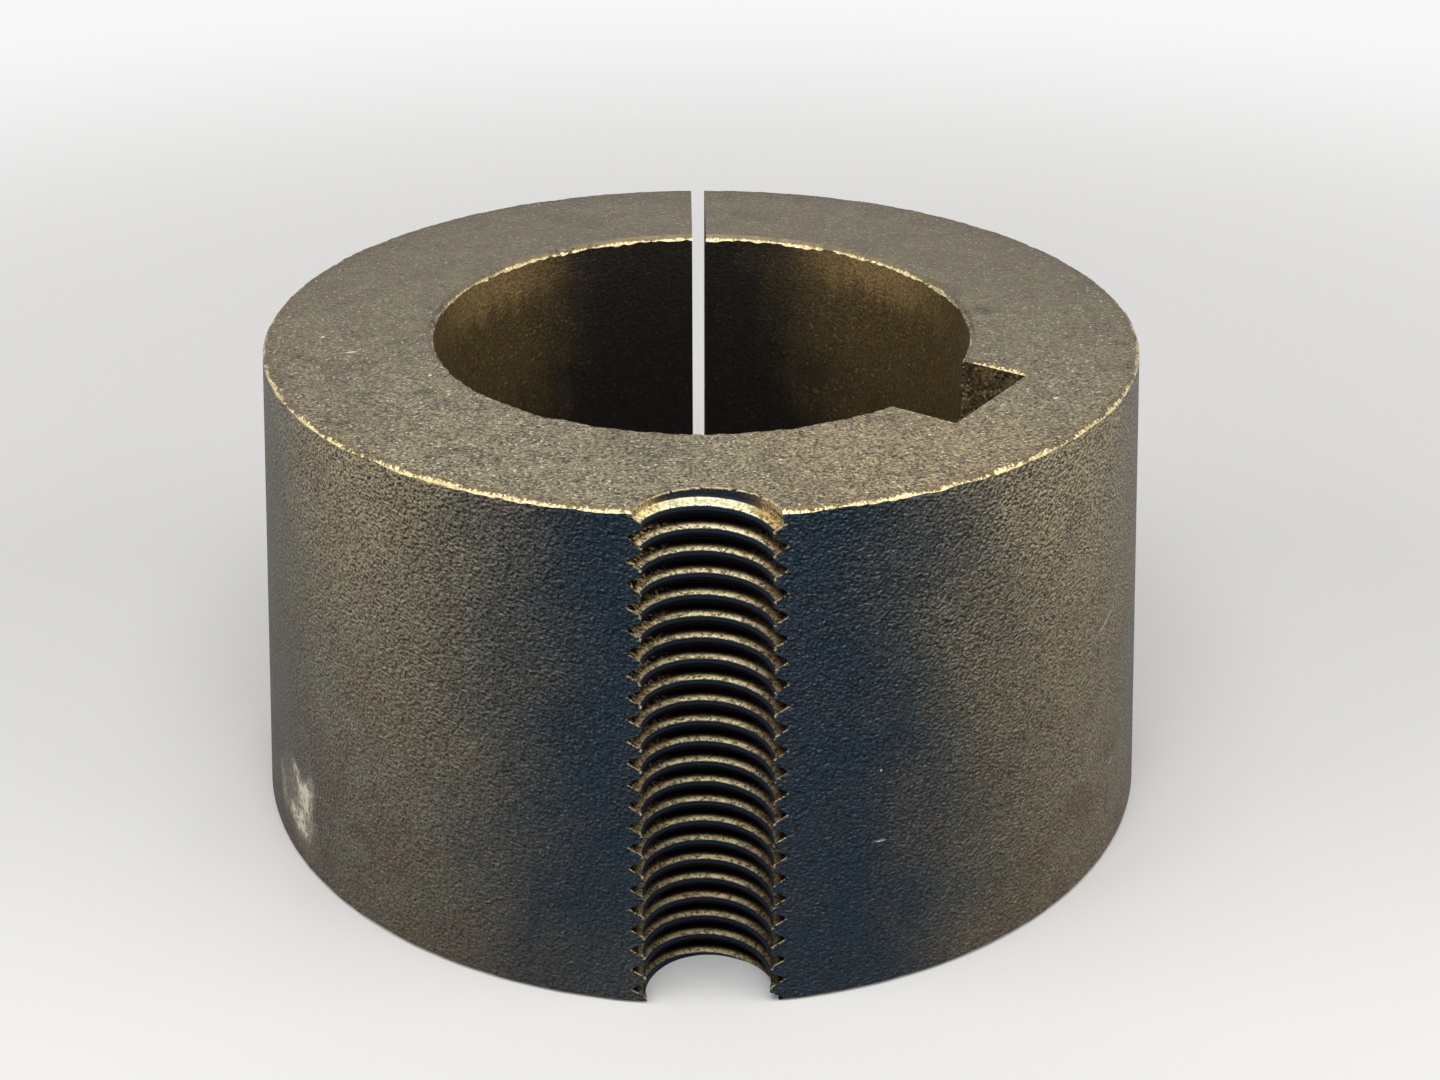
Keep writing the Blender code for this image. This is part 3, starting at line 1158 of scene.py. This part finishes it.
@dataclass(frozen=True)
class BoredWall:
    """The bore: olive brown at its mouth, with painted shade deeper inside and towards the saw cut,
    painted light high up at the back, faintly lined both ways.
    """

    olive: Colour = (0.098, 0.068, 0.028)
    pale: Colour = (0.330, 0.225, 0.092)
    dark: Colour = (0.015, 0.0125, 0.010)
    speck: Colour = (0.300, 0.240, 0.130)

    def material(self, sleeve: Sleeve) -> bpy.types.Material:
        """Build the material.

        Args:
            sleeve: The sleeve whose bore it covers. It is not used.

        Returns:
            The material.
        """
        t = ShaderTree("bored_wall")
        streaks = t.clouds(1.6 * MM, 3.0, 0.55, stretch=(1.0, 1.0, 12.0))
        blots = t.clouds(5 * MM, 3.0, 0.55, shift=3.0)
        # Painted shade: the bore darkens with depth and towards the saw cut at the back, and streaks and
        # blots vary it.
        deep = t.z.ramp(39 * MM, 8 * MM)
        turned = abs(t.azimuth - 0.096)
        shade = deep * 0.75 + turned.ramp(2.15, 3.05) + (streaks - 0.5) * 0.5 + (blots - 0.5) * 0.7
        shade = shade.ramp(0.0, 1.0)
        colour = t.mix(shade, self.olive, self.dark)
        # Painted light: a pale patch high up on either side of the back, ragged along the streaks.
        painted_light_lobe = (t.z + (streaks - 0.5) * 6 * MM).ramp(38.7 * MM, 42.2 * MM)
        colour = t.mix(painted_light_lobe * abs(turned - 2.22).ramp(0.55, 0.05) * 0.6, colour, self.pale)
        grain = t.clouds(0.30 * MM, 2.0, 0.6)
        grit = t.grains(0.22 * MM, shift=2.0)
        colour = t.scaled(colour, grain.ramp(0.34, 0.66).spread(0.72, 1.22) + (grit - 0.5) * 0.4)
        colour = t.mix(grit.ramp(0.95, 0.99) * shade.spread(0.5, 0.06), colour, self.speck)
        turning = t.clouds(0.14 * MM, 1.0, 0.5, stretch=(40.0, 40.0, 1.0))
        normal = t.relief(turning, 0.02 * MM, t.relief(grain, 0.12 * MM))
        return t.finish(colour, streaks.spread(0.45, 0.62), 0.4, normal, specular=0.25)


@dataclass(frozen=True)
class BrightRim:
    """The broken edges: worn through to bright metal at the small end, and dark at the base."""

    gold: Colour = (0.560, 0.430, 0.200)
    cream: Colour = (0.950, 0.870, 0.540)
    brown: Colour = (0.165, 0.115, 0.056)
    dull: Colour = (0.205, 0.160, 0.095)
    dark: Colour = (0.095, 0.074, 0.045)
    wear_depth: float = 0.30 * MM

    def material(self, sleeve: Sleeve) -> bpy.types.Material:
        """Build the material.

        Args:
            sleeve: The sleeve whose edges it covers.

        Returns:
            The material.
        """
        t = ShaderTree("bright_rim")
        fleck = t.clouds(0.30 * MM, 3.0, 0.65, 0.4)
        grit = t.grains(0.16 * MM)
        reach = t.clouds(3.2 * MM, 2.0, shift=4.0)
        colour = t.mix(fleck.ramp(0.42, 0.60) * grit.spread(0.4, 1.0), self.gold, self.cream)
        mouth = t.radius.ramp(sleeve.bore_radius + 1.4 * MM, sleeve.bore_radius + 0.7 * MM)
        down = (sleeve.length - t.z) / self.wear_depth
        ragged = (fleck - 0.5) * mouth.spread(3.0, 1.1) + (reach - 0.5) * mouth.spread(2.2, 0.8)
        bare = down - mouth * 0.7 + ragged
        unworn = t.mix(mouth, self.brown, self.dull)
        colour = t.mix(1 - bare.ramp(0.25, 0.70) * bare.ramp(1.75, 1.25), colour, unworn)
        base = t.z.ramp(sleeve.length * 0.5, sleeve.length * 0.2)
        round_back = abs(t.azimuth)
        covered = base + mouth * round_back.ramp(2.3, 1.6) + (1 - mouth) * round_back.ramp(0.9, 1.7) * 0.7
        kept = covered.at_most(1.0) * fleck.ramp(0.66, 0.50)
        kept = kept + (fleck * 0.6 + reach * 0.4).ramp(0.44, 0.38)
        colour = t.mix(kept.at_most(1.0), colour, self.dark)
        return t.finish(colour, fleck.spread(0.30, 0.52), 0.7, t.relief(fleck, 0.10 * MM), specular=0.4)


@dataclass(frozen=True)
class CutThread:
    """The thread, its light painted: flanks that face up are bare and lit at the crest and in painted
    shade at the root, and the crests a dark blue painted reflection.
    """

    slate_reflection: Colour = (0.013, 0.021, 0.037)
    black: Colour = (0.001, 0.001, 0.002)
    brown: Colour = (0.150, 0.098, 0.046)
    gold: Colour = (0.520, 0.410, 0.210)
    ochre: Colour = (0.720, 0.580, 0.280)
    amber: Colour = (0.410, 0.285, 0.110)
    cream: Colour = (0.910, 0.810, 0.480)
    butter: Colour = (0.670, 0.625, 0.375)

    def material(self, sleeve: Sleeve, thread: JackingThread) -> bpy.types.Material:
        """Build the material.

        Args:
            sleeve: The sleeve.
            thread: The thread it covers.

        Returns:
            The material.
        """
        t = ShaderTree("cut_thread")
        fleck = t.clouds(0.22 * MM, 3.0, 0.7, 0.3)
        spark = t.grains(0.17 * MM, stretch=(1.3, 1.3, 1.0))
        end = thread.off_middle(t, sleeve).ramp(0.40, 0.95)
        left = t.x.ramp(1 * MM, -4 * MM)
        level = t.z / sleeve.length
        phase = thread.groove_phase(t, sleeve) + (fleck - 0.5) * 0.035
        crest = abs(phase).ramp(0.318, 0.348)
        # Painted shade: the root and the inner part of each flank that faces up black, brown nearer the
        # crest.
        colour = t.mix(phase.ramp(-0.14, -0.25) * spark.spread(0.35, 1.0), self.black, self.brown)
        # Painted light towards the ends: brown and gold specks on the flanks that face up, more on the
        # left and higher up.
        speckled = phase.ramp(-0.03, -0.13) * end * spark.ramp(0.30, 0.75) * left.spread(0.35, 1.0)
        colour = t.mix(speckled * level.spread(0.3, 1.0), colour, self.brown)
        sparks = speckled * left * spark.ramp(0.6, 0.95) * level.spread(-0.3, 1.0).at_least(0.0)
        colour = t.mix(sparks, colour, self.gold)
        # The bare metal of the flanks that face up, with a painted highlight from above; less towards the
        # ends, least on the right.
        bare = phase.ramp(-0.19, -0.26) * spark.ramp(-0.35, 0.45)
        colour = t.mix(bare * (1 - end * left.spread(0.80, 0.40)), colour, self.gold)
        # Painted highlight along the crest edges of the flanks that face up, fading towards the ends and
        # lower down.
        edge = phase.ramp(-0.22, -0.29) * spark.ramp(0.05, 0.60)
        shining = edge * (1 - end * left.spread(0.85, 0.5)) * level.spread(0.30, 1.0)
        colour = t.mix(shining, colour, self.cream)
        # Painted light on the first flank from the top, which nothing shades: pale in the middle, ochre
        # and amber at the sides, brown at its right end.
        first = t.z.ramp(sleeve.length - 1.95 * MM, sleeve.length - 1.7 * MM)
        first = first * phase.ramp(-0.08, -0.12) * (1 - phase.ramp(-0.29, -0.32))
        sides = t.mix(left, self.amber, self.ochre)
        band = t.mix(end.ramp(0.10, 0.6) * spark.ramp(-0.4, 0.6), self.butter, sides)
        colour = t.mix(first, colour, band)
        colour = t.mix(first * end * (1 - left) * spark.ramp(0.55, 0.15) * 0.75, colour, self.brown)
        # Painted light: sparkle on the bright parts, the whole thread lighter higher up, and the turns
        # near the top lighter still.
        sparkle = (spark - 0.5) * (bare + first).at_most(1.0) * end.spread(0.8, 1.3)
        second = t.z.ramp(sleeve.length - 4.6 * MM, sleeve.length - 3.3 * MM) * (1 - first)
        colour = t.scaled(colour, (sparkle + 1.0) * (level.spread(0.62, 1.10) + second * 0.35))
        # The crests: a dark blue painted reflection on their upper part and painted shade below.
        land = t.mix(thread.groove_phase(t, sleeve).ramp(0.0, 0.02), self.slate_reflection, self.black)
        colour = t.mix(crest, colour, land)
        colour = self._mouth(t, sleeve, thread, colour, fleck, spark, end)
        bright = (bare + edge + first).at_most(1.0) * (1 - crest)
        roughness = fleck.spread(0.34, 0.58)
        normal = t.relief(fleck, 0.08 * MM)
        return t.finish(colour, roughness, bright.spread(0.1, 0.75), normal, specular=0.06)

    def _mouth(self, t: ShaderTree, sleeve: Sleeve, thread: JackingThread, colour: Socket,
               fleck: Socket, spark: Socket, end: Socket) -> Socket:
        """Lay the mouth's colours over the thread's: a dark blue painted reflection at the crown, painted
        light in brown and gold towards the ends, and a bright lip.

        Args:
            t: The material's tree.
            sleeve: The sleeve.
            thread: The thread.
            colour: The thread's colours.
            fleck: The fine grain.
            spark: The bare specks.
            end: How near the skin a point is.

        Returns:
            The colours.
        """
        radius, top = thread.mouth_radius, sleeve.length
        foot = top - thread.blunt_depth
        away = thread.axis_distance(t, sleeve, thread.mouth_inset)
        wall = away.ramp(radius - 0.12 * MM, radius - 0.04 * MM)
        wall = wall * t.z.ramp(foot, foot + 0.1 * MM)
        # Painted light on the mouth's wall: brown and gold towards the ends, a dark blue painted
        # reflection at the crown.
        painted_end_light = (end * 1.3 + (fleck - 0.5) * 1.5).at_most(1.0).at_least(0.0)
        tone = t.mix(painted_end_light, self.slate_reflection, self.brown)
        painted_end_glints = end.ramp(0.30, 0.85) * fleck.ramp(0.40, 0.56) * spark.ramp(-0.2, 0.6)
        tone = t.mix(painted_end_glints, tone, self.gold)
        lip = (t.z + (fleck - 0.5) * 0.3 * MM).ramp(top - 0.21 * MM, top - 0.09 * MM)
        tone = t.mix(lip * spark.ramp(0.1, 0.6) * 0.9, tone, self.cream)
        return t.mix(wall, colour, tone)


@dataclass(frozen=True)
class SawnWall:
    """The keyway and the saw cut, dark brown and speckled, and the plain half holes, a calmer umber."""

    brown: Colour = (0.122, 0.084, 0.036)
    dark: Colour = (0.040, 0.029, 0.014)
    umber: Colour = (0.098, 0.077, 0.048)
    bare: Colour = (0.330, 0.270, 0.150)

    def material(self, sleeve: Sleeve) -> bpy.types.Material:
        """Build the material.

        Args:
            sleeve: The sleeve whose cut walls it covers.

        Returns:
            The material.
        """
        t = ShaderTree("sawn_wall")
        blots = t.clouds(1.6 * MM, 3.0, 0.6)
        drilled = t.radius.ramp(sleeve.hole_circle_radius - 8 * MM, sleeve.hole_circle_radius - 6 * MM)
        colour = t.mix(blots.ramp(0.38, 0.62), self.dark, self.brown)
        colour = t.mix(drilled * 0.7, colour, self.umber)
        grain = t.clouds(0.26 * MM, 2.0, 0.6, shift=2.0)
        grit = t.grains(0.22 * MM, shift=4.0)
        tone = grain.ramp(0.34, 0.66).spread(-0.6, 0.5) + (grit - 0.5) * 0.8
        colour = t.scaled(colour, tone * drilled.spread(1.0, 0.6) + 1.0)
        colour = t.mix(grit.ramp(0.86, 0.98) * drilled.spread(0.7, 0.25), colour, self.bare)
        lines = t.clouds(0.22 * MM, 1.0, 0.5, stretch=(1.0, 1.0, 30.0))
        normal = t.relief(lines, 0.02 * MM, t.relief(grain, 0.08 * MM))
        return t.finish(colour, grain.spread(0.45, 0.65), 0.4, normal, specular=0.25)


# The bushing


@dataclass(frozen=True)
class Bushing:
    """The whole bushing: one machined piece, cut from its blank and dressed."""

    name: str = "split_taper_bushing"
    node: str = "bushing"
    slot: str = "bushing"
    body: str = "root"
    sleeve: Sleeve = field(default_factory=Sleeve)
    thread: JackingThread = field(default_factory=JackingThread)

    def build(self) -> bpy.types.Object:
        """Cut the blank and dress what is left.

        Returns:
            The finished piece, in place of the solid.
        """
        materials = self.materials()
        blank = self.sleeve.blank()
        cutters = [
            self.sleeve.split_cutter(),
            self.sleeve.keyway_cutter(),
            *self.sleeve.plain_hole_cutters(),
            self.thread.rod_cutter(self.sleeve, materials[Region.THREAD]),
            self.thread.mouth_cutter(self.sleeve),
        ]
        piece = self.cut(blank, cutters)
        for region, material in materials.items():
            piece.data.materials[region.value] = material
        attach(piece, self.body)
        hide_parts(self.node)
        LOG.info("%s: %d faces", piece.name, len(piece.data.polygons))
        return piece

    def materials(self) -> dict[Region, bpy.types.Material]:
        """The finish of each region.

        Returns:
            The materials by region.
        """
        return {
            Region.SKIN: PebbledSkin().material(self.sleeve, self.thread),
            Region.END_FACE: SandyFace().material(self.sleeve),
            Region.BORE: BoredWall().material(self.sleeve),
            Region.RIM: BrightRim().material(self.sleeve),
            Region.THREAD: CutThread().material(self.sleeve, self.thread),
            Region.CUT_WALL: SawnWall().material(self.sleeve),
        }

    def cut(self, blank: bpy.types.Object, cutters: list[bpy.types.Object]) -> bpy.types.Object:
        """Take the cutters' shapes out of the blank, as a clean plain mesh.

        Args:
            blank: The turned blank, which is removed.
            cutters: What is cut away, removed too.

        Returns:
            The piece.
        """
        for cutter in cutters:
            boolean = blank.modifiers.new(cutter.name, "BOOLEAN")
            boolean.operation = "DIFFERENCE"
            boolean.solver = "EXACT"
            boolean.object = cutter
        graph = bpy.context.evaluated_depsgraph_get()
        mesh = bpy.data.meshes.new_from_object(blank.evaluated_get(graph))
        for obj in (blank, *cutters):
            bpy.data.objects.remove(obj)
        bm = bmesh.new()
        bm.from_mesh(mesh)
        bmesh.ops.remove_doubles(bm, verts=bm.verts, dist=WELD)
        bmesh.ops.dissolve_degenerate(bm, edges=bm.edges, dist=WELD)
        large = [face for face in bm.faces if len(face.verts) > 4]
        bmesh.ops.triangulate(bm, faces=large, ngon_method="BEAUTY")
        limit = math.radians(SHARP_ANGLE)
        for face in bm.faces:
            face.smooth = True
        for edge in bm.edges:
            between = len({face.material_index for face in edge.link_faces}) > 1
            edge.smooth = not between and edge.calc_face_angle(0.0) < limit
        bm.to_mesh(mesh)
        bm.free()
        mesh.name = self.name
        piece = bpy.data.objects.new(self.name, mesh)
        bpy.context.scene.collection.objects.link(piece)
        return piece


# The studio


@dataclass(frozen=True)
class Softbox:
    """A square lamp that faces a point."""

    name: str
    azimuth: float
    elevation: float
    distance: float
    side: float
    watts: float
    warmth: Colour = (1.0, 1.0, 1.0)

    def place(self, target: Vector) -> None:
        """Hang the lamp.

        Args:
            target: What it faces.
        """
        lamp = bpy.data.lights.new(self.name, "AREA")
        lamp.shape = "SQUARE"
        lamp.size = self.side
        lamp.energy = self.watts
        lamp.color = self.warmth
        obj = bpy.data.objects.new(self.name, lamp)
        level = math.radians(self.elevation)
        away = polar(math.cos(level), self.azimuth, math.sin(level))
        obj.location = target + away * self.distance
        obj.rotation_mode = "QUATERNION"
        obj.rotation_quaternion = away.to_track_quat("Z", "Y")
        bpy.context.scene.collection.objects.link(obj)


@dataclass(frozen=True)
class Studio:
    """A pale floor, soft lamps and the camera."""

    floor_radius: float = 0.60
    floor_segments: int = 96
    fade_start: float = 0.08
    fade_end: float = 0.34
    floor_colour: Colour = (0.86, 0.86, 0.86)
    sky: float = 0.26
    seen_sky: float = 0.94
    aim_height: float = 0.022
    camera_position: tuple[float, float, float] = (-0.001972, -0.188320, 0.117410)
    camera_heading: float = 1.126
    camera_dip: float = 26.855
    camera_roll: float = 0.123
    focal_pixels: float = 2181.8
    frame_width: int = 1440
    sensor: float = 36.0
    nearest_seen: float = 0.01
    lamps: tuple[Softbox, ...] = (
        Softbox("left_softbox", 200.0, 24.0, 0.50, 0.36, 1.15, (1.0, 0.97, 0.91)),
        Softbox("right_softbox", -20.0, 24.0, 0.50, 0.36, 1.15, (1.0, 0.96, 0.88)),
        Softbox("overhead_softbox", -92.0, 62.0, 0.26, 0.16, 0.34),
        Softbox("back_softbox", 90.0, 26.0, 0.60, 0.40, 0.50),
    )

    def build(self) -> None:
        """Set the whole studio."""
        self.lay_floor()
        self.light()
        self.stand_camera()

    def lay_floor(self) -> None:
        """A disc under the bushing, which shows its shadow and fades into the pale surroundings."""
        bm = bmesh.new()
        bmesh.ops.create_circle(bm, cap_ends=True, segments=self.floor_segments, radius=self.floor_radius)
        mesh = bpy.data.meshes.new("floor")
        bm.to_mesh(mesh)
        bm.free()
        floor = bpy.data.objects.new("floor", mesh)
        bpy.context.scene.collection.objects.link(floor)
        t = ShaderTree("pale_floor")
        mesh.materials.append(t.material)
        paper = t.node("ShaderNodeBsdfDiffuse", {}, {"Color": (*self.floor_colour, 1.0)})
        beyond = t.node("ShaderNodeBsdfTransparent", {}, {})
        fade = t.radius.ramp(self.fade_start, self.fade_end)
        faded = t.node("ShaderNodeMixShader", {}, {0: fade, 1: paper, 2: beyond})
        t.node("ShaderNodeOutputMaterial", {}, {"Surface": faded}, None)

    def light(self) -> None:
        """Hang the lamps, and set the world to a plain level that is near white where it is seen."""
        for lamp in self.lamps:
            lamp.place(Vector((0.0, 0.0, self.aim_height)))
        world = bpy.data.worlds.new("studio")
        world.use_nodes = True
        world.node_tree.nodes.clear()
        bpy.context.scene.world = world
        tree = Tree(world.node_tree.nodes, world.node_tree.links)
        path = tree.node("ShaderNodeLightPath", {}, {}, None)
        kinds = ("Camera", "Glossy", "Transmission")
        seen, mirrored, passed = (Socket(tree, path.outputs[f"Is {kind} Ray"]) for kind in kinds)
        strength = seen.at_least(mirrored).at_least(passed).spread(self.sky, self.seen_sky)
        white = (1.0, 1.0, 1.0, 1.0)
        glow = tree.node("ShaderNodeBackground", {}, {"Color": white, "Strength": strength})
        tree.node("ShaderNodeOutputWorld", {}, {"Surface": glow}, None)

    def stand_camera(self) -> None:
        """Stand the camera where the picture was taken from, and look the same way."""
        data = bpy.data.cameras.new("camera")
        data.sensor_fit = "HORIZONTAL"
        data.sensor_width = self.sensor
        data.lens = self.focal_pixels / self.frame_width * self.sensor
        data.clip_start = self.nearest_seen
        camera = bpy.data.objects.new("camera", data)
        heading, dip = math.radians(self.camera_heading), math.radians(self.camera_dip)
        level = math.cos(dip)
        ahead = Vector((math.sin(heading) * level, math.cos(heading) * level, -math.sin(dip)))
        right = Vector((math.cos(heading), -math.sin(heading), 0.0))
        turn = Matrix.Rotation(math.radians(-self.camera_roll), 3, ahead)
        right, above = turn @ right, turn @ right.cross(ahead)
        axes = Matrix((right, above, -ahead)).transposed()
        camera.matrix_world = Matrix.LocRotScale(Vector(self.camera_position), axes, None)
        bpy.context.scene.collection.objects.link(camera)
        bpy.context.scene.camera = camera


def main() -> None:
    logging.basicConfig(level=logging.INFO, format="%(name)s: %(message)s")
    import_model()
    Bushing().build()
    Studio().build()
    bpy.context.scene.view_settings.view_transform = "Standard"


if __name__ == "__main__":
    main()
